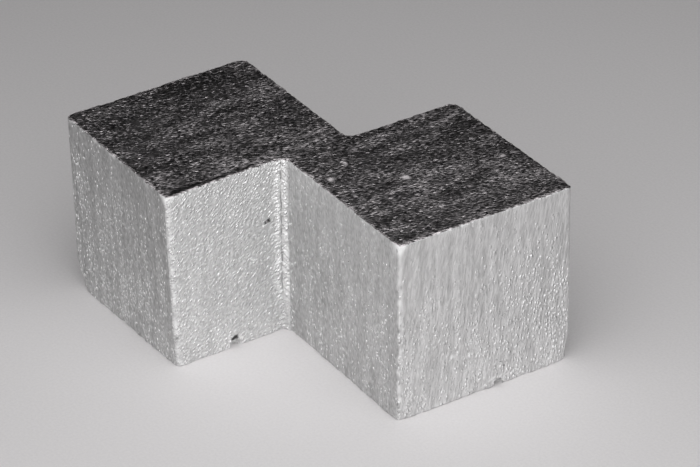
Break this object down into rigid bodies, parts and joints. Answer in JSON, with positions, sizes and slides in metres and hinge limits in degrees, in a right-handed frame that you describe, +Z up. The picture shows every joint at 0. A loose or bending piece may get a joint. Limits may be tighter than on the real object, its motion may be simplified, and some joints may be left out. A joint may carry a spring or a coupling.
{
  "type": "aluminium ingot",
  "caption": "Stepped cast aluminium ingot: cube-like blocks joined end to end and offset sideways, for use as melting stock or ballast.",
  "frame": {"origin": "on the face the ingot rests on, under the middle of its bounding box", "axes": "+X runs along both blocks from the first to the second, +Y is the way the second block steps sideways, +Z is up"},
  "size_m": [0.1013, 0.0848, 0.05],
  "materials": {
    "cast_aluminium": "bare cast metal, scraped and filed along each face, satin with bright specks"
  },
  "bodies": {
    "root": {"ingot": "cast_aluminium"}
  },
  "joints": []
}
